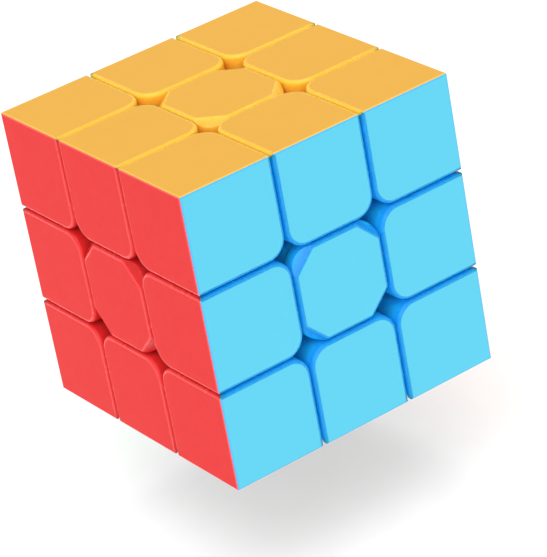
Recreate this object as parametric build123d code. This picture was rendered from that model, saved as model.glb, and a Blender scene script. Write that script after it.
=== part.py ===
from build123d import *
import os

# Twisty puzzle cube, 3 x 3 x 3, of coloured plastic without stickers. Millimetres, +Z up, origin at its centre.
#
# Six centres turn on screws in a six-armed core. Each edge is two coloured shells and each corner is three,
# pegged together. Outside the mechanism sphere the layers part at LAYER, and inside it at FOOT_LAYER, nearer
# the core, so a corner's foot lies under its edges and an edge's foot lies under its centres, and nothing
# falls out. Both cuts are the same about all three axes, so any face turns clear of the rest.

# the cube and its layers
CUBE = 56.0
HALF = CUBE / 2
LAYER = CUBE / 6
GAP = 0.15
LOW = LAYER + GAP
WIDE = LAYER - GAP

# the mechanism inside
SPHERE = 19.5
NECK_SPHERE = 21.5
FOOT_LAYER = 5.7
FOOT_INNER = 12.0
FOOT_LOW = FOOT_LAYER + GAP
FOOT_WIDE = FOOT_LAYER - GAP

# the shells
WALL = 1.4
CELL_ROUND = 3.9
RIM_ROUND = 0.65
CUBE_EDGE_ROUND = 0.3
CAVITY_ROUND = CELL_ROUND - WALL
UNDERSIDE = SPHERE + GAP
FLOOR = UNDERSIDE + WALL

# the centre's cap, with a slanting facet at each corner
CENTRE_ROUND = 5.0
FACET_LEG = 4.85
FACET_SLOPE = 45.0
CAP_BASE = 24.4
CAP_PLATE = 1.6
SPIGOT_LENGTH = 1.6
SPIGOT_CLEARANCE = 0.05
SPIGOT_WALL = 0.9

# the centre's stalk, and the core's arm under it
ARM_END = 8.5
ARM_RADIUS = 4.2
CORE_BALL_RADIUS = 6.4
STALK_RADIUS = 5.4
STALK_START = ARM_END + GAP
STALK_END = 21.8
STALK_FLOOR = 2.2
SPRING_BORE_RADIUS = 4.0

# the screw, washer and spring that hold a centre down
SCREW_RADIUS = 1.5
SCREW_HOLE_RADIUS = 1.6
PILOT_RADIUS = 1.52
PILOT_START = 3.0
SCREW_TIP = 3.2
TIP_TAPER = 0.8
TIP_RADIUS = 0.9
HEAD_START = 18.7
HEAD_RADIUS = 2.9
HEAD_HEIGHT = 1.9
HEAD_ROUND = 0.6
RECESS_LENGTH = 3.0
RECESS_WIDTH = 0.7
RECESS_DEPTH = 1.1
WASHER_RADIUS = 3.3
WASHER_THICKNESS = 0.5
SPRING_RADIUS = 2.6
SPRING_WIRE_RADIUS = 0.35
SPRING_TURNS = 5
SEAT_CLEARANCE = 0.03

# the pegs that join the shells of one edge or corner
PEG_RADIUS = 0.9
PEG_LENGTH = 1.6
PEG_CLEARANCE = 0.05
EDGE_PEG = (3.1, 11.8, 11.8)
CORNER_PEG = (10.6, 7.9, 10.6)

# each side's name, its outward direction and the colour of its pieces
SIDES = {
    "up": ((0, 0, 1), "yellow"),
    "down": ((0, 0, -1), "white"),
    "front": ((0, -1, 0), "blue"),
    "back": ((0, 1, 0), "green"),
    "left": ((-1, 0, 0), "red"),
    "right": ((1, 0, 0), "orange"),
}

FROM_LOW = (Align.MIN, Align.MIN, Align.MIN)
ON_BASE = (Align.CENTER, Align.CENTER, Align.MIN)
HUGE = 3 * CUBE
TINY = 1e-4


# --- shapes used by several pieces ---


def box_between(low, high):
    """A box from its lowest corner to its highest."""
    size = [b - a for a, b in zip(low, high)]
    return Pos(*low) * Box(*size, align=FROM_LOW)


def bar(radius, bottom, top):
    """A round bar along +Z between two heights."""
    return Pos(0, 0, bottom) * Cylinder(radius, top - bottom, align=ON_BASE)


def square_bar(half_width, radius, bottom, top):
    """A square bar along +Z with its upright edges rounded."""
    block = box_between((-half_width, -half_width, bottom), (half_width, half_width, top))
    return fillet(block.edges().filter_by(Axis.Z), radius)


def beyond(normal, point=(0, 0, 0)):
    """All of space on normal's side of a plane through a point."""
    return Plane(origin=point, z_dir=normal) * Box(HUGE, HUGE, HUGE, align=ON_BASE)


def peg(point, direction, radius, length):
    """A round peg that stands length beyond a parting face and is rooted as deep behind it."""
    return Plane(origin=point, z_dir=direction) * Cylinder(radius, 2 * length)


def outer_level_count(edge):
    """How many of the cube's outside faces an edge lies in."""
    box = edge.bounding_box()
    spans = zip(tuple(box.min), tuple(box.max))
    return sum(abs(low - HALF) < TINY and abs(high - HALF) < TINY for low, high in spans)


def rounded_cell(low, high):
    """A corner's or edge's block: round towards the face's centre, soft at its grooves and crisp outside."""
    block = box_between(low, high)
    block = fillet([e for e in block.edges() if outer_level_count(e) == 0], CELL_ROUND)
    block = fillet([e for e in block.edges() if outer_level_count(e) == 1], RIM_ROUND)
    whole_cube = Box(CUBE, CUBE, CUBE)
    return block & fillet(whole_cube.edges(), CUBE_EDGE_ROUND)


def cavity(low, high):
    """The hollow of a block, one wall in from its faces and from its underside."""
    low_in = [v + WALL for v in low]
    high_in = [v - WALL for v in high]
    block = box_between(low_in, high_in)
    return fillet(block.edges(), CAVITY_ROUND) - Sphere(FLOOR)


# --- corners and edges, each made once as the share that faces +Z ---


def corner_share():
    """A third of the corner at +X +Y +Z: its +Z tile, with a third of the foot."""
    low = (LOW, LOW, LOW)
    high = (HALF, HALF, HALF)
    foot_low = (FOOT_LOW, FOOT_LOW, FOOT_LOW)
    neck = box_between(low, high) & Sphere(NECK_SPHERE)
    foot = box_between(foot_low, high) & Sphere(SPHERE - GAP)
    whole = rounded_cell(low, high) + neck + foot - Sphere(FOOT_INNER) - cavity(low, high)
    share = whole & beyond((-1, 0, 1)) & beyond((0, -1, 1))
    x, y, z = CORNER_PEG
    share = share + peg((x, y, z), (1, 0, -1), PEG_RADIUS, PEG_LENGTH)
    return share - peg((y, x, z), (0, -1, 1), PEG_RADIUS + PEG_CLEARANCE, PEG_LENGTH + PEG_CLEARANCE)


def edge_share():
    """Half of the edge at +Y +Z: its +Z tile, with half of the foot."""
    low = (-WIDE, LOW, LOW)
    high = (WIDE, HALF, HALF)
    stem = box_between((-FOOT_WIDE, FOOT_LOW, FOOT_LOW), (FOOT_WIDE, HALF, HALF))
    overhang = rounded_cell(low, high) - Sphere(UNDERSIDE)
    neck = stem & box_between(low, high) & Sphere(NECK_SPHERE)
    foot = stem & Sphere(SPHERE - GAP)
    whole = overhang + neck + foot - Sphere(FOOT_INNER) - cavity(low, high)
    share = whole & beyond((0, -1, 1))
    x, y, z = EDGE_PEG
    share = share + peg((x, y, z), (0, 1, -1), PEG_RADIUS, PEG_LENGTH)
    return share - peg((-x, y, z), (0, -1, 1), PEG_RADIUS + PEG_CLEARANCE, PEG_LENGTH + PEG_CLEARANCE)


# --- the centre that faces +Z ---


def centre_body():
    """The centre's square shell, open under its cap, and the stalk that reaches down to the core."""
    shell = square_bar(WIDE, CENTRE_ROUND, LOW, CAP_BASE) - Sphere(UNDERSIDE)
    hollow = square_bar(WIDE - WALL, CENTRE_ROUND - WALL, LOW, HALF) - Sphere(FLOOR)
    body = shell - hollow + bar(STALK_RADIUS, STALK_START, STALK_END)
    spring_bore = bar(SPRING_BORE_RADIUS, STALK_START + STALK_FLOOR, HALF)
    return body - spring_bore - bar(SCREW_HOLE_RADIUS, 0, HALF)


def centre_cap():
    """The cap that clips into the shell: a plate with four slanting facets, on a hollow spigot."""
    block = square_bar(WIDE, CENTRE_ROUND, CAP_BASE, HALF)
    block = fillet([e for e in block.edges() if outer_level_count(e) == 1], RIM_ROUND)
    on_facet = (WIDE - FACET_LEG / 2, WIDE - FACET_LEG / 2, HALF)
    facet_normal = Vector(1, 1, 0).normalized().rotate(Axis((0, 0, 0), (1, -1, 0)), FACET_SLOPE)
    for turn in range(4):
        block = block - Rot(0, 0, 90 * turn) * beyond(facet_normal, on_facet)
    spigot_half = WIDE - WALL - SPIGOT_CLEARANCE
    spigot_round = CENTRE_ROUND - WALL - SPIGOT_CLEARANCE
    bottom = CAP_BASE - SPIGOT_LENGTH
    spigot = square_bar(spigot_half, spigot_round, bottom, CAP_BASE)
    recess = square_bar(spigot_half - SPIGOT_WALL, spigot_round - SPIGOT_WALL, bottom, HALF - CAP_PLATE)
    return block + spigot - recess


# --- the core, and the screw, washer and spring along its +Z arm ---


def core_spider():
    """A ball with six drilled arms."""
    spider = Sphere(CORE_BALL_RADIUS)
    for arm in on_each_side(bar(ARM_RADIUS, 0, ARM_END)):
        spider = spider + arm
    for pilot in on_each_side(bar(PILOT_RADIUS, PILOT_START, HALF)):
        spider = spider - pilot
    return spider


def tension_screw():
    """A pan-head screw with a cross recess."""
    tip = Pos(0, 0, SCREW_TIP) * Cone(TIP_RADIUS, SCREW_RADIUS, TIP_TAPER, align=ON_BASE)
    head_end = HEAD_START + HEAD_HEIGHT
    head = bar(HEAD_RADIUS, HEAD_START, head_end)
    head = fillet(head.edges().sort_by(Axis.Z)[-1], HEAD_ROUND)
    screw = tip + bar(SCREW_RADIUS, SCREW_TIP + TIP_TAPER, HEAD_START) + head
    for turn in range(2):
        slot = Pos(0, 0, head_end - RECESS_DEPTH / 2) * Box(RECESS_LENGTH, RECESS_WIDTH, RECESS_DEPTH)
        screw = screw - Rot(0, 0, 90 * turn) * slot
    return screw


def screw_washer():
    """A flat washer under the screw's head."""
    bottom = HEAD_START - WASHER_THICKNESS
    return bar(WASHER_RADIUS, bottom, HEAD_START) - bar(SCREW_HOLE_RADIUS, bottom, HEAD_START)


def tension_spring():
    """A coil spring from the floor of the stalk to the washer."""
    wire_start = STALK_START + STALK_FLOOR + SEAT_CLEARANCE + SPRING_WIRE_RADIUS
    wire_end = HEAD_START - WASHER_THICKNESS - SEAT_CLEARANCE - SPRING_WIRE_RADIUS
    height = wire_end - wire_start
    coil = Helix(height / SPRING_TURNS, height, SPRING_RADIUS)
    section = Plane(origin=coil @ 0, z_dir=coil % 0) * Circle(SPRING_WIRE_RADIUS)
    return Pos(0, 0, wire_start) * sweep(section, coil, is_frenet=True)


# --- placing the pieces ---


def side_of(direction):
    """The name of the side that faces a direction."""
    return next(name for name, (normal, _) in SIDES.items() if (Vector(*normal) - direction).length < TINY)


def joined_names(directions):
    """The names of several sides, in the order of SIDES, joined with underscores."""
    names = {side_of(direction) for direction in directions}
    return "_".join(name for name in SIDES if name in names)


def placings():
    """Each of the 24 ways to set the cube down, as the colour and plane of its turned +Z side."""
    for z_dir, colour in SIDES.values():
        for x_dir, _ in SIDES.values():
            if abs(Vector(*z_dir).dot(Vector(*x_dir))) < TINY:
                yield colour, Plane(origin=(0, 0, 0), x_dir=x_dir, z_dir=z_dir)


def on_each_side(shape):
    """Copies of a shape that faces +Z, one facing each side."""
    x_dirs = [(0, 1, 0) if normal[0] else (1, 0, 0) for normal, _ in SIDES.values()]
    return [
        Plane(origin=(0, 0, 0), x_dir=x_dir, z_dir=normal) * shape
        for x_dir, (normal, _) in zip(x_dirs, SIDES.values())
    ]


def all_nodes():
    """Every node's name and shape."""
    nodes = {
        "core_spider": core_spider(),
        "tension_screws": Compound(children=on_each_side(tension_screw())),
        "screw_washers": Compound(children=on_each_side(screw_washer())),
        "tension_springs": Compound(children=on_each_side(tension_spring())),
    }
    bodies = on_each_side(centre_body())
    caps = on_each_side(centre_cap())
    for name, body, cap in zip(SIDES, bodies, caps):
        nodes[f"centre_{name}"] = Compound(children=[body, cap])
    corner = corner_share()
    edge = edge_share()
    for colour, plane in placings():
        corner_sides = joined_names([plane.x_dir, plane.y_dir, plane.z_dir])
        edge_sides = joined_names([plane.y_dir, plane.z_dir])
        nodes[f"corner_{corner_sides}_{colour}"] = plane * corner
        nodes[f"edge_{edge_sides}_{colour}"] = plane * edge
    return nodes


os.makedirs("parts", exist_ok=True)
for node_name, node_shape in all_nodes().items():
    export_step(node_shape, f"parts/{node_name}.step")
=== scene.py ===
import math
from itertools import product

import bmesh
import bpy
from mathutils import Matrix, Vector


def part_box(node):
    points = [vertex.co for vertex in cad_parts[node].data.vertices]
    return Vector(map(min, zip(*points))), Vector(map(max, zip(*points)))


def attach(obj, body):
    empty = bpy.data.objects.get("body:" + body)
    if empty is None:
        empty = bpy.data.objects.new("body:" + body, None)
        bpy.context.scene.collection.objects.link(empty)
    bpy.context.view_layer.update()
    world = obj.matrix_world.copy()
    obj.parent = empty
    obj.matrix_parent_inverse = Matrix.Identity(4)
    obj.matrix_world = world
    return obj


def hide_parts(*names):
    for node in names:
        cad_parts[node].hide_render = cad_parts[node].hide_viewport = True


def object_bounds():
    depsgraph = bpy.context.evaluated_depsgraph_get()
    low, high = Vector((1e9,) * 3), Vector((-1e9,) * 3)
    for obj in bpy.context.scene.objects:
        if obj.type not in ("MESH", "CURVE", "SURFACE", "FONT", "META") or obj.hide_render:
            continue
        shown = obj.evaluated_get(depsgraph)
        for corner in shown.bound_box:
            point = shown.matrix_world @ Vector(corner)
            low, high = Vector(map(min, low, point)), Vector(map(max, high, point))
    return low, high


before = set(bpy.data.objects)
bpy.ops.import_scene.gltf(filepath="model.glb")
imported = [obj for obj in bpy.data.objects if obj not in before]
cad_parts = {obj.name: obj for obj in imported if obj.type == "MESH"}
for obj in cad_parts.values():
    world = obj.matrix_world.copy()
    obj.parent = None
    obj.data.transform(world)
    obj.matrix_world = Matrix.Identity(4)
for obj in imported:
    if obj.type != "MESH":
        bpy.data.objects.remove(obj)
cad_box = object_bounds()

# The shells are built in millimetres, at the sizes of the CAD pieces that they stand for, and
# scaled to metres last. WIDE is half a middle cubie's width. LOW is where an outer cubie starts.
# GAP is half of what is left between two layers.
MM = 0.001
HALF = cad_box[1][2] / MM
LAYER = HALF / 3
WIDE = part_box("edge_up_front_yellow")[1].x / MM
LOW = 2 * LAYER - WIDE
GAP = LAYER - WIDE
FOOT_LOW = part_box("corner_up_back_right_yellow")[0].x / MM
FOOT_WIDE = FOOT_LOW - 2 * GAP

# the mechanism inside: radii of spheres about the cube's centre, and a hair's breadth that the
# necks stand back from their shells' sides
SPHERE = 19.5
UNDERSIDE = SPHERE + GAP
FOOT_TOP = SPHERE - GAP
NECK_SPHERE = 21.5
FOOT_INNER = 12.0
NECK_INSET = 0.02

# the shells
WALL = 1.4
FLOOR = UNDERSIDE + WALL
CELL_ROUND = 3.9
CAVITY_ROUND = CELL_ROUND - WALL
RIM_ROUND = 0.65
CUBE_EDGE_ROUND = 0.45
PARTING_GAP = 0.015

# the centre's cap and stalk
CENTRE_ROUND = 5.0
FACET_LEG = 4.85
FACET_SLOPE = math.radians(45)
CREST_ROUND = 0.7
CREST_STEPS = 4
CAP_BASE = 24.4
CAP_PLATE = 1.6
SPIGOT_LENGTH = 1.6
SPIGOT_CLEARANCE = 0.05
SPIGOT_WALL = 0.9
STALK_RADIUS = 5.4
STALK_START = 8.65
STALK_END = 21.8
STALK_FLOOR = 2.2
SPRING_BORE_RADIUS = 4.0
SCREW_HOLE_RADIUS = 1.6

# the pegs that join the shells of one edge or corner
PEG_RADIUS = 0.9
PEG_LENGTH = 1.6
PEG_CLEARANCE = 0.05
EDGE_PEG = Vector((3.1, 11.8, 11.8))
CORNER_PEG = Vector((10.6, 7.9, 10.6))

# how finely round shapes are divided
CELL_STEPS = 14
RIM_STEPS = 6
EDGE_STEPS = 6
CAVITY_STEPS = 5
SPHERE_AROUND = 96
SPHERE_RINGS = 64
BAR_SIDES = 64
SMOOTH_BELOW = math.radians(30)

# farther than any shell, and closer than any two points of one
REACH = 3 * HALF
TINY = 1e-4

SIDES = {
    "up": (Vector((0, 0, 1)), "yellow"),
    "down": (Vector((0, 0, -1)), "white"),
    "front": (Vector((0, -1, 0)), "blue"),
    "back": (Vector((0, 1, 0)), "green"),
    "left": (Vector((-1, 0, 0)), "red"),
    "right": (Vector((1, 0, 0)), "orange"),
}


# --- mesh tools ---


def box(low, high):
    """A closed box as a bmesh, from its lowest corner to its highest."""
    bm = bmesh.new()
    bmesh.ops.create_cube(bm, size=1)
    for vert in bm.verts:
        vert.co = Vector(b if part > 0 else a for a, b, part in zip(low, high, vert.co))
    return bm


def ball(radius):
    """A closed sphere about the cube's centre."""
    bm = bmesh.new()
    bmesh.ops.create_uvsphere(bm, u_segments=SPHERE_AROUND, v_segments=SPHERE_RINGS, radius=radius)
    return bm


def bar(radius, start, direction, length):
    """A round bar from a point along a direction."""
    bm = bmesh.new()
    bmesh.ops.create_cone(
        bm, cap_ends=True, segments=BAR_SIDES, radius1=radius, radius2=radius, depth=length
    )
    turn = Vector(direction).to_track_quat("Z", "Y").to_matrix().to_4x4()
    middle = Vector(start) + Vector(direction).normalized() * length / 2
    bmesh.ops.transform(bm, matrix=Matrix.Translation(middle) @ turn, verts=bm.verts)
    return bm


def bevel(bm, edges, radius, steps):
    """Rounds some edges with an arc."""
    bmesh.ops.bevel(
        bm,
        geom=edges,
        offset=radius,
        offset_type="OFFSET",
        segments=steps,
        profile=0.5,
        affect="EDGES",
    )
    return bm


def slice_off(bm, point, normal):
    """Cuts away what lies on normal's side of a plane, and closes the cut.

    The cut has to be one loop.
    """
    geom = bm.verts[:] + bm.edges[:] + bm.faces[:]
    bmesh.ops.bisect_plane(bm, geom=geom, plane_co=point, plane_no=normal, clear_outer=True)
    rim = [edge for edge in bm.edges if edge.is_boundary]
    bmesh.ops.contextual_create(bm, geom=rim)
    bmesh.ops.recalc_face_normals(bm, faces=bm.faces)
    return bm


def temporary_object(bm):
    """An object in the scene with a bmesh's mesh. It uses the bmesh up."""
    mesh = bpy.data.meshes.new("temporary")
    bm.to_mesh(mesh)
    bm.free()
    obj = bpy.data.objects.new("temporary", mesh)
    bpy.context.scene.collection.objects.link(obj)
    return obj


def remove_object(obj):
    """Removes an object with its mesh."""
    mesh = obj.data
    bpy.data.objects.remove(obj)
    bpy.data.meshes.remove(mesh)


def boolean(bm, other, operation):
    """The boolean of two closed bmeshes, both of which it uses up."""
    first = temporary_object(bm)
    second = temporary_object(other)
    modifier = first.modifiers.new("boolean", "BOOLEAN")
    modifier.operation = operation
    modifier.solver = "EXACT"
    modifier.object = second
    bpy.context.view_layer.update()
    result = bmesh.new()
    result.from_object(first, bpy.context.evaluated_depsgraph_get())
    remove_object(first)
    remove_object(second)
    return result


def joined(bm, other):
    return boolean(bm, other, "UNION")


def without(bm, other):
    return boolean(bm, other, "DIFFERENCE")


def common(bm, other):
    return boolean(bm, other, "INTERSECT")


# --- shapes that several pieces share ---


def outer_level_count(edge):
    """How many of the cube's outside faces an edge lies in."""
    a, b = (vert.co for vert in edge.verts)
    return sum(abs(a[i] - HALF) < TINY and abs(b[i] - HALF) < TINY for i in range(3))


def cube_edge_cutter(along):
    """What is cut away to round the cube's own edge that runs along one axis."""
    inner = HALF - CUBE_EDGE_ROUND
    outer = HALF + CUBE_EDGE_ROUND
    section = [(outer, inner), (outer, outer), (inner, outer)]
    for step in range(EDGE_STEPS + 1):
        angle = math.pi / 2 * (1 - step / EDGE_STEPS)
        across = inner + CUBE_EDGE_ROUND * math.cos(angle)
        section.append((across, inner + CUBE_EDGE_ROUND * math.sin(angle)))
    bm = bmesh.new()
    verts = [bm.verts.new((u, v, -REACH)) for u, v in section]
    face = bm.faces.new(verts)
    pushed = bmesh.ops.extrude_face_region(bm, geom=[face])["geom"]
    moved = [part for part in pushed if isinstance(part, bmesh.types.BMVert)]
    bmesh.ops.translate(bm, verts=moved, vec=(0, 0, 2 * REACH))
    axes = {"X": (1, 2, 0), "Y": (2, 0, 1), "Z": (0, 1, 2)}[along]
    for vert in bm.verts:
        for axis, value in zip(axes, vert.co.copy()):
            vert.co[axis] = value
    bmesh.ops.recalc_face_normals(bm, faces=bm.faces)
    return bm


def rounded_cell(low, high, outer_edges):
    """A cubie's block, rounded towards its faces' centres and rounded off at its grooves.

    The cube's own edges, which run along the outer_edges axes, are rounded least.
    """
    bm = box(low, high)
    inside = [edge for edge in bm.edges if outer_level_count(edge) == 0]
    bevel(bm, inside, CELL_ROUND, CELL_STEPS)
    rim = [edge for edge in bm.edges if outer_level_count(edge) == 1]
    bevel(bm, rim, RIM_ROUND, RIM_STEPS)
    for along in outer_edges:
        bm = without(bm, cube_edge_cutter(along))
    return bm


def cavity(low, high):
    """The hollow of a block, one wall in from its faces and from its underside."""
    bm = box([v + WALL for v in low], [v - WALL for v in high])
    bevel(bm, bm.edges[:], CAVITY_ROUND, CAVITY_STEPS)
    return without(bm, ball(FLOOR))


def beyond(*normals):
    """All of space on the far side of some planes, each a hair's breadth past the cube's centre."""
    bm = box((-REACH,) * 3, (REACH,) * 3)
    for normal in normals:
        direction = Vector(normal).normalized()
        slice_off(bm, direction * PARTING_GAP, -direction)
    return bm


def add_peg(bm, at, direction):
    """Adds a peg that stands out of a parting face, with as much again inside the shell."""
    start = at - Vector(direction).normalized() * PEG_LENGTH
    return joined(bm, bar(PEG_RADIUS, start, direction, 2 * PEG_LENGTH))


def cut_socket(bm, at, direction):
    """Cuts the hole that the next shell's peg sits in."""
    depth = PEG_LENGTH + PEG_CLEARANCE
    start = at - Vector(direction).normalized() * depth
    return without(bm, bar(PEG_RADIUS + PEG_CLEARANCE, start, direction, 2 * depth))


def square_bar(half_width, radius, bottom, top):
    """A square bar along +Z with its upright edges rounded."""
    bm = box((-half_width, -half_width, bottom), (half_width, half_width, top))
    upright = [edge for edge in bm.edges if abs(edge.verts[0].co.z - edge.verts[1].co.z) > TINY]
    return bevel(bm, upright, radius, CELL_STEPS)


# --- each kind of shell, made once, facing +Z ---


def corner_share():
    """A third of the corner at +X +Y +Z: its +Z tile, with a third of the foot."""
    low = (LOW, LOW, LOW)
    high = (HALF, HALF, HALF)
    neck_low = (LOW + NECK_INSET,) * 3
    neck_high = (HALF - WALL,) * 3
    bm = rounded_cell(low, high, "XYZ")
    bm = joined(bm, common(box(neck_low, neck_high), ball(NECK_SPHERE)))
    bm = joined(bm, common(box((FOOT_LOW,) * 3, neck_high), ball(FOOT_TOP)))
    bm = without(bm, ball(FOOT_INNER))
    bm = without(bm, cavity(low, high))
    bm = common(bm, beyond((-1, 0, 1), (0, -1, 1)))
    bm = add_peg(bm, CORNER_PEG, (1, 0, -1))
    return cut_socket(bm, CORNER_PEG.yxz, (0, -1, 1))


def edge_share():
    """Half of the edge at +Y +Z: its +Z tile, with half of the foot."""
    low = (-WIDE, LOW, LOW)
    high = (WIDE, HALF, HALF)
    neck_low = (-FOOT_WIDE, LOW + NECK_INSET, LOW + NECK_INSET)
    foot_low = (-FOOT_WIDE, FOOT_LOW, FOOT_LOW)
    stem_high = (FOOT_WIDE, HALF - WALL, HALF - WALL)
    bm = without(rounded_cell(low, high, "X"), ball(UNDERSIDE))
    bm = joined(bm, common(box(neck_low, stem_high), ball(NECK_SPHERE)))
    bm = joined(bm, common(box(foot_low, stem_high), ball(FOOT_TOP)))
    bm = without(bm, ball(FOOT_INNER))
    bm = without(bm, cavity(low, high))
    bm = common(bm, beyond((0, -1, 1)))
    bm = add_peg(bm, EDGE_PEG, (0, 1, -1))
    return cut_socket(bm, Vector((-EDGE_PEG.x, EDGE_PEG.y, EDGE_PEG.z)), (0, -1, 1))


def centre_body():
    """The centre's square shell, open under its cap, with the stalk that reaches the core."""
    up = (0, 0, 1)
    bm = without(square_bar(WIDE, CENTRE_ROUND, LOW, CAP_BASE), ball(UNDERSIDE))
    hollow = without(square_bar(WIDE - WALL, CENTRE_ROUND - WALL, LOW, HALF), ball(FLOOR))
    bm = without(bm, hollow)
    bm = joined(bm, bar(STALK_RADIUS, (0, 0, STALK_START), up, STALK_END - STALK_START))
    bm = without(bm, bar(SPRING_BORE_RADIUS, (0, 0, STALK_START + STALK_FLOOR), up, HALF))
    return without(bm, bar(SCREW_HOLE_RADIUS, (0, 0, 0), up, HALF))


def centre_cap():
    """The cap: a plate with four slanting facets, on a hollow spigot.

    The crest between the flat and a facet is an arc of CREST_STEPS cuts.
    """
    bm = square_bar(WIDE, CENTRE_ROUND, CAP_BASE, HALF)
    rim = [edge for edge in bm.edges if outer_level_count(edge) == 1]
    bevel(bm, rim, RIM_ROUND, RIM_STEPS)
    crest_reach = CREST_ROUND * math.tan(FACET_SLOPE / 2)
    for turn in range(4):
        outward = Matrix.Rotation(math.pi / 2 * turn, 3, "Z") @ Vector((1, 1, 0)).normalized()
        crest = outward * (WIDE - FACET_LEG / 2) * math.sqrt(2)
        arc_middle = crest - outward * crest_reach + Vector((0, 0, HALF - CREST_ROUND))
        for step in range(CREST_STEPS):
            angle = FACET_SLOPE * (step + 1) / CREST_STEPS
            normal = outward * math.sin(angle) + Vector((0, 0, math.cos(angle)))
            slice_off(bm, arc_middle + normal * CREST_ROUND, normal)
    spigot_half = WIDE - WALL - SPIGOT_CLEARANCE
    spigot_round = CENTRE_ROUND - WALL - SPIGOT_CLEARANCE
    bottom = CAP_BASE - SPIGOT_LENGTH
    bm = joined(bm, square_bar(spigot_half, spigot_round, bottom, CAP_BASE + CAP_PLATE))
    recess_half = spigot_half - SPIGOT_WALL
    recess_round = spigot_round - SPIGOT_WALL
    return without(bm, square_bar(recess_half, recess_round, bottom - GAP, HALF - CAP_PLATE))


def on_outside(point):
    """Whether a point lies on the shell's outside flat, or on the cube's own rounded edges."""
    next_farthest = sorted(map(abs, point))[1]
    return abs(point.z - HALF) < TINY or next_farthest > HALF - CUBE_EDGE_ROUND - TINY


def finished_mesh(bm, name):
    """A shell's mesh in metres, smooth but for its sharp edges.

    Its outside faces have the second material, and all the others the first.
    """
    bmesh.ops.remove_doubles(bm, verts=bm.verts, dist=TINY)
    bmesh.ops.dissolve_degenerate(bm, edges=bm.edges, dist=TINY)
    bmesh.ops.recalc_face_normals(bm, faces=bm.faces)
    for face in bm.faces:
        face.smooth = True
        face.material_index = int(all(on_outside(vert.co) for vert in face.verts))
    for edge in bm.edges:
        edge.smooth = len(edge.link_faces) == 2 and edge.calc_face_angle() < SMOOTH_BELOW
    obj = temporary_object(bm)
    obj.data.transform(Matrix.Scale(MM, 4))
    weighted = obj.modifiers.new("weighted", "WEIGHTED_NORMAL")
    weighted.keep_sharp = True
    bpy.context.view_layer.update()
    evaluated = obj.evaluated_get(bpy.context.evaluated_depsgraph_get())
    mesh = bpy.data.meshes.new_from_object(evaluated)
    mesh.name = name
    remove_object(obj)
    return mesh


# --- materials: their sizes are in millimetres ---

# where nearly all of a noise's values lie
NOISE_LOW = 0.3
NOISE_HIGH = 0.7

# plastic: marks where it flowed into the mould, unevenness of its gloss, and the mould's grain
FLOW_MARK = 9.0
FLOW_DARKEST = 0.985
GLOSS_PATCH = 1.6
GLOSS_CHANGE = 0.03
GRAIN_STRENGTH = 0.4
GLOW_REACH = 4.0

# metal: its marks, by how much they change its colour and roughness, and its grain
METAL_MARK = 0.4
METAL_DARKEST = 0.85
METAL_LIGHTEST = 1.1
METAL_SMOOTHER = 0.08
METAL_ROUGHER = 0.1
METAL_GRAIN = 0.15
METAL_GRAIN_DEPTH = 0.01
METAL_GRAIN_STRENGTH = 0.3

# how far below the outside faces the tiles' colours change, with their painted highlights and shade
# from this depth down, the cube's rounded edges carry a painted highlight (a painted shade on the
# blue)
PAINTED_EDGE_FROM = 0.03
# the painted highlight on the rims fades into the walls' colour by this depth
PAINTED_RIM_TO = 0.2
GROOVE_DEPTH = 1.5


def node_material(name):
    """A new material, its node tree, its shader, and the place of each point in the piece."""
    material = bpy.data.materials.new(name)
    material.use_nodes = True
    tree = material.node_tree
    shader = tree.nodes["Principled BSDF"]
    place = tree.nodes.new("ShaderNodeTexCoord").outputs["Object"]
    return material, tree, shader, place


def noise(tree, place, cell, detail=2.0):
    """Noise whose cells are about that many millimetres across."""
    node = tree.nodes.new("ShaderNodeTexNoise")
    node.inputs["Scale"].default_value = 1 / (cell * MM)
    node.inputs["Detail"].default_value = detail
    tree.links.new(place, node.inputs["Vector"])
    return node.outputs["Fac"]


def spread(tree, value, low, high):
    """A noise value spread from low to high."""
    node = tree.nodes.new("ShaderNodeMapRange")
    node.inputs["From Min"].default_value = NOISE_LOW
    node.inputs["From Max"].default_value = NOISE_HIGH
    node.inputs["To Min"].default_value = low
    node.inputs["To Max"].default_value = high
    tree.links.new(value, node.inputs["Value"])
    return node.outputs["Result"]


def blend_colours(tree, value, low, high):
    """A colour between two, by a noise value."""
    node = tree.nodes.new("ShaderNodeMix")
    node.data_type = "RGBA"
    node.inputs["A"].default_value = (*low, 1)
    node.inputs["B"].default_value = (*high, 1)
    tree.links.new(spread(tree, value, 0, 1), node.inputs["Factor"])
    return node.outputs["Result"]


def add_bump(tree, shader, height, depth, strength):
    """Bumps of that depth in millimetres."""
    node = tree.nodes.new("ShaderNodeBump")
    node.inputs["Strength"].default_value = strength
    node.inputs["Distance"].default_value = depth * MM
    tree.links.new(height, node.inputs["Height"])
    tree.links.new(node.outputs["Normal"], shader.inputs["Normal"])


def shade(colour, factor):
    """A colour made darker or lighter."""
    return tuple(min(1, channel * factor) for channel in colour)


def math_node(tree, operation, *values):
    """The result of a math operation on node values."""
    node = tree.nodes.new("ShaderNodeMath")
    node.operation = operation
    for value, socket in zip(values, node.inputs):
        tree.links.new(value, socket)
    return node.outputs["Value"]


def groove_depth(tree, place):
    """How deep a point lies: 0 at the cube's outside faces, and 1 from GROOVE_DEPTH down."""
    parts = tree.nodes.new("ShaderNodeSeparateXYZ")
    tree.links.new(place, parts.inputs["Vector"])
    across, along, up = (math_node(tree, "ABSOLUTE", parts.outputs[axis]) for axis in "XYZ")
    farthest = math_node(tree, "MAXIMUM", math_node(tree, "MAXIMUM", across, along), up)
    node = tree.nodes.new("ShaderNodeMapRange")
    node.inputs["From Min"].default_value = HALF * MM
    node.inputs["From Max"].default_value = (HALF - GROOVE_DEPTH) * MM
    tree.links.new(farthest, node.inputs["Value"])
    return node.outputs["Result"]


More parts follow.
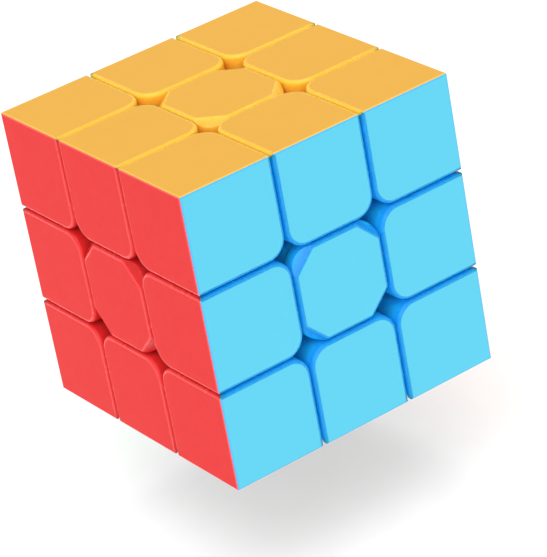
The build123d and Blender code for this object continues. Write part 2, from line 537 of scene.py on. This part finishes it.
def multiplied(tree, first, second):
    """Two colours multiplied."""
    node = tree.nodes.new("ShaderNodeMix")
    node.data_type = "RGBA"
    node.blend_type = "MULTIPLY"
    node.inputs["Factor"].default_value = 1
    tree.links.new(first, node.inputs["A"])
    tree.links.new(second, node.inputs["B"])
    return node.outputs["Result"]


def colour_by_depth(tree, place, stops):
    """A colour that changes with the depth in millimetres below the cube's outside faces."""
    node = tree.nodes.new("ShaderNodeValToRGB")
    ramp = node.color_ramp
    for _ in stops[2:]:
        ramp.elements.new(0.5)
    for element, (depth, colour) in zip(ramp.elements, stops):
        element.position = depth / GROOVE_DEPTH
        element.color = (*colour, 1)
    tree.links.new(groove_depth(tree, place), node.inputs["Fac"])
    return node.outputs["Color"]


def moulded_plastic(name, stops, roughness, grain, grain_depth, specular, glow=0.0):
    """Plastic coloured right through, uneven in its colour and gloss, with the mould's grain.

    stops are its colours by depth, which in the tiles' grooves hold painted highlights, painted
    bounce light and painted shade, and glow is how much light passes through it.
    """
    material, tree, shader, place = node_material(name)
    flow = noise(tree, place, FLOW_MARK, detail=3)
    marks = blend_colours(tree, flow, (FLOW_DARKEST,) * 3, (1,) * 3)
    base = multiplied(tree, colour_by_depth(tree, place, stops), marks)
    tree.links.new(base, shader.inputs["Base Color"])
    patches = noise(tree, place, GLOSS_PATCH)
    gloss = spread(tree, patches, roughness - GLOSS_CHANGE, roughness + GLOSS_CHANGE)
    tree.links.new(gloss, shader.inputs["Roughness"])
    add_bump(tree, shader, noise(tree, place, grain), grain_depth, GRAIN_STRENGTH)
    shader.inputs["Specular IOR Level"].default_value = specular
    shader.inputs["Subsurface Weight"].default_value = glow
    shader.inputs["Subsurface Radius"].default_value = (1, 1, 1)
    shader.inputs["Subsurface Scale"].default_value = GLOW_REACH * MM
    return material


def brushed_metal(name, colour, roughness):
    """Plated steel with fine, uneven marks."""
    material, tree, shader, place = node_material(name)
    marks = noise(tree, place, METAL_MARK, detail=4)
    dark, light = shade(colour, METAL_DARKEST), shade(colour, METAL_LIGHTEST)
    tree.links.new(blend_colours(tree, marks, dark, light), shader.inputs["Base Color"])
    gloss = spread(tree, marks, roughness - METAL_SMOOTHER, roughness + METAL_ROUGHER)
    tree.links.new(gloss, shader.inputs["Roughness"])
    grain = noise(tree, place, METAL_GRAIN)
    add_bump(tree, shader, grain, METAL_GRAIN_DEPTH, METAL_GRAIN_STRENGTH)
    shader.inputs["Metallic"].default_value = 1
    return material


# Each colour's flat tile faces are finely frosted, with a painted highlight along the cube's own
# edges (a painted shade on the blue). Its rims and grooves are polished, and their colours by depth
# are partly the plastic's deeper colour and partly painted light: a painted highlight on the rims,
# painted bounce light and shade on the walls, and holes painted lighter to offset their shade.
# The green and orange colours are painted lighter to offset the weaker light that their faces get
# at rest.
TILE_COLOURS = {
    "yellow": {
        "flat": (0.637, 0.333, 0.042),
        "painted_edge_light": (0.75, 0.430, 0.070),
        "rim": (0.74, 0.39, 0.046),
        "wall": (0.78, 0.45, 0.040),
        "hole": (0.97, 0.46, 0.048),
    },
    "red": {
        "flat": (0.665, 0.019, 0.019),
        "painted_edge_light": (0.90, 0.100, 0.105),
        "rim": (0.92, 0.065, 0.062),
        "wall": (0.60, 0.017, 0.019),
        "hole": (0.64, 0.024, 0.024),
    },
    "blue": {
        "flat": (0.095, 0.498, 0.669),
        "painted_edge_light": (0.056, 0.400, 0.72),
        "rim": (0.010, 0.285, 0.63),
        "wall": (0.003, 0.235, 0.65),
        "hole": (0.016, 0.46, 0.98),
    },
    "white": {
        "flat": (0.62, 0.62, 0.61),
        "painted_edge_light": (0.67, 0.67, 0.66),
        "rim": (0.60, 0.61, 0.62),
        "wall": (0.54, 0.56, 0.59),
        "hole": (0.66, 0.68, 0.71),
    },
    # green: painted lighter to offset the weaker light on its face at rest
    "green": {
        "flat": (0.125, 0.60, 0.19),
        "painted_edge_light": (0.16, 0.69, 0.23),
        "rim": (0.09, 0.51, 0.15),
        "wall": (0.03, 0.41, 0.11),
        "hole": (0.05, 0.75, 0.18),
    },
    # orange: painted lighter to offset the weaker light on its face at rest
    "orange": {
        "flat": (0.87, 0.235, 0.045),
        "painted_edge_light": (0.95, 0.30, 0.06),
        "rim": (0.90, 0.23, 0.045),
        "wall": (0.82, 0.14, 0.025),
        "hole": (0.94, 0.23, 0.045),
    },
}


def tile_materials(colour):
    """The two materials of a shell of one colour: first its grooves', then its outside's."""
    tints = TILE_COLOURS[colour]
    # grooves: a painted highlight on the rims; walls partly the plastic's deeper colour and partly
    # painted bounce light and shade; holes painted lighter to offset their shade
    groove = [(0, tints["rim"]), (PAINTED_RIM_TO, tints["wall"]), (GROOVE_DEPTH, tints["hole"])]
    # the outside: the flat colour, then a painted highlight along the cube's rounded edges (painted
    # shade on the blue)
    outside = [(0, tints["flat"]), (PAINTED_EDGE_FROM, tints["painted_edge_light"])]
    polished = moulded_plastic(
        f"{colour}_polished",
        groove,
        roughness=0.26,
        grain=0.5,
        grain_depth=0.004,
        specular=0.22,
        glow=1.0,
    )
    frosted = moulded_plastic(
        f"{colour}_frosted",
        outside,
        roughness=0.45,
        grain=0.12,
        grain_depth=0.002,
        specular=0.12,
    )
    return polished, frosted


def even_plastic(name, colour, **finish):
    """Plastic of the same colour at any depth."""
    return moulded_plastic(name, [(0, colour), (GROOVE_DEPTH, colour)], **finish)


# --- placing the shells ---


def turned(x_dir, z_dir):
    """The rotation that takes +X and +Z to two directions."""
    return Matrix((x_dir, z_dir.cross(x_dir), z_dir)).transposed().to_4x4()


def joined_names(*directions):
    """The names of the sides that face some directions, in the order of SIDES."""
    return "_".join(name for name, (normal, _) in SIDES.items() if normal in directions)


def place_shell(mesh, name, turn, body, node, colour):
    """A copy of a shell, turned into place, which stands for a CAD node and rides on its body."""
    placed = mesh.copy()
    placed.name = name
    placed.transform(turn)
    for material in materials[colour]:
        placed.materials.append(material)
    obj = bpy.data.objects.new(name, placed)
    bpy.context.scene.collection.objects.link(obj)
    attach(obj, body)
    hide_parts(node)


def place_corners_and_edges():
    """Places the 24 corner shells and the 24 edge shells."""
    corner = finished_mesh(corner_share(), "corner_share")
    edge = finished_mesh(edge_share(), "edge_share")
    for (z_dir, colour), (x_dir, _) in product(SIDES.values(), repeat=2):
        if abs(z_dir.dot(x_dir)) > TINY:
            continue
        turn = turned(x_dir, z_dir)
        y_dir = z_dir.cross(x_dir)
        corner_body = "corner_" + joined_names(x_dir, y_dir, z_dir)
        edge_body = "edge_" + joined_names(y_dir, z_dir)
        for mesh, body in ((corner, corner_body), (edge, edge_body)):
            node = f"{body}_{colour}"
            place_shell(mesh, f"{node}_shell", turn, body, node, colour)


def place_centres():
    """Places the six centres' bodies and caps."""
    shell = finished_mesh(centre_body(), "centre_body")
    cap = finished_mesh(centre_cap(), "centre_cap")
    for name, (z_dir, colour) in SIDES.items():
        x_dir = Vector((0, 1, 0)) if z_dir.x else Vector((1, 0, 0))
        node = f"centre_{name}"
        for mesh, kind in ((shell, "body"), (cap, "cap")):
            place_shell(mesh, f"{node}_{kind}", turned(x_dir, z_dir), node, node, colour)


def finish_inner_nodes():
    """The core, screws, washers and springs stay as they are and get their materials."""
    core = even_plastic(
        "core_plastic",
        (0.80, 0.80, 0.77),
        roughness=0.45,
        grain=0.4,
        grain_depth=0.01,
        specular=0.4,
    )
    plated = brushed_metal("zinc_plate", (0.62, 0.63, 0.66), roughness=0.3)
    wire = brushed_metal("spring_wire", (0.42, 0.43, 0.45), roughness=0.35)
    inner = {
        "core_spider": core,
        "tension_screws": plated,
        "screw_washers": plated,
        "tension_springs": wire,
    }
    for node, material in inner.items():
        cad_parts[node].material_slots[0].material = material


# --- floor, light and camera: distances in millimetres ---

FLOOR_DROP = 26.0
FLOOR_SIZE = 3000.0
FLOOR_SQUARES = 8
CAMERA_AZIMUTH = math.radians(-31.13)
CAMERA_ELEVATION = math.radians(27.06)
CAMERA_ROLL = math.radians(-10.76)
CAMERA_DISTANCE = 561.0
CAMERA_AIM = (4.52, -7.42)
CAMERA_LENS = 210.1
CAMERA_SEES_FROM = 10.0
CAMERA_SEES_TO = 10000.0
SENSOR = 36.0
SKY_STRENGTH = 0.8

# azimuth, elevation and width of each light in degrees, and its strength
LIGHTS = {"key": (-40, 75, 55, 1.35), "fill": (-42, 32, 50, 1.35)}


def direction_at(azimuth, elevation):
    """A direction from the cube's centre. Azimuth 0 is the front, and it grows to the right."""
    level = math.cos(elevation)
    return Vector((math.sin(azimuth) * level, -math.cos(azimuth) * level, math.sin(elevation)))


def add_floor():
    """A plain pale floor under the cube, which hangs above it as it does in the photo."""
    mesh = bpy.data.meshes.new("floor")
    bm = bmesh.new()
    half_size = FLOOR_SIZE * MM / 2
    bmesh.ops.create_grid(bm, x_segments=FLOOR_SQUARES, y_segments=FLOOR_SQUARES, size=half_size)
    bmesh.ops.translate(bm, verts=bm.verts, vec=(0, 0, (-HALF - FLOOR_DROP) * MM))
    bm.to_mesh(mesh)
    bm.free()
    pale = even_plastic(
        "studio_floor",
        (0.88, 0.88, 0.88),
        roughness=0.7,
        grain=4,
        grain_depth=0.02,
        specular=0.1,
    )
    mesh.materials.append(pale)
    floor = bpy.data.objects.new("studio_floor", mesh)
    bpy.context.scene.collection.objects.link(floor)


def add_sky():
    """Plain white light from all round."""
    world = bpy.data.worlds.new("studio")
    world.use_nodes = True
    background = world.node_tree.nodes["Background"]
    background.inputs["Color"].default_value = (1, 1, 1, 1)
    background.inputs["Strength"].default_value = SKY_STRENGTH
    bpy.context.scene.world = world


def add_light(name, azimuth, elevation, width, strength):
    """A large soft light, far away, so that it is as strong on every tile."""
    lamp = bpy.data.lights.new(name, "SUN")
    lamp.angle = math.radians(width)
    lamp.energy = strength
    obj = bpy.data.objects.new(name, lamp)
    towards = direction_at(math.radians(azimuth), math.radians(elevation))
    obj.rotation_euler = towards.to_track_quat("Z", "Y").to_euler()
    bpy.context.scene.collection.objects.link(obj)


def add_camera():
    """The camera, at the photo's angle and rolled as its camera was against the cube."""
    lens = bpy.data.cameras.new("camera")
    lens.sensor_fit = "HORIZONTAL"
    lens.sensor_width = SENSOR
    lens.lens = CAMERA_LENS
    lens.clip_start = CAMERA_SEES_FROM * MM
    lens.clip_end = CAMERA_SEES_TO * MM
    towards = direction_at(CAMERA_AZIMUTH, CAMERA_ELEVATION)
    level_right = Vector((math.cos(CAMERA_AZIMUTH), math.sin(CAMERA_AZIMUTH), 0))
    level_up = towards.cross(level_right)
    right = level_right * math.cos(CAMERA_ROLL) + level_up * math.sin(CAMERA_ROLL)
    up = towards.cross(right)
    aim = right * CAMERA_AIM[0] + up * CAMERA_AIM[1]
    place = (aim + towards * CAMERA_DISTANCE) * MM
    axes = Matrix((right, up, towards)).transposed().to_4x4()
    camera = bpy.data.objects.new("camera", lens)
    camera.matrix_world = Matrix.Translation(place) @ axes
    bpy.context.scene.collection.objects.link(camera)
    bpy.context.scene.camera = camera


materials = {colour: tile_materials(colour) for _, colour in SIDES.values()}
place_corners_and_edges()
place_centres()
finish_inner_nodes()
add_floor()
add_sky()
for light, (azimuth, elevation, width, strength) in LIGHTS.items():
    add_light(light, azimuth, elevation, width, strength)
add_camera()
bpy.context.scene.view_settings.view_transform = "Standard"
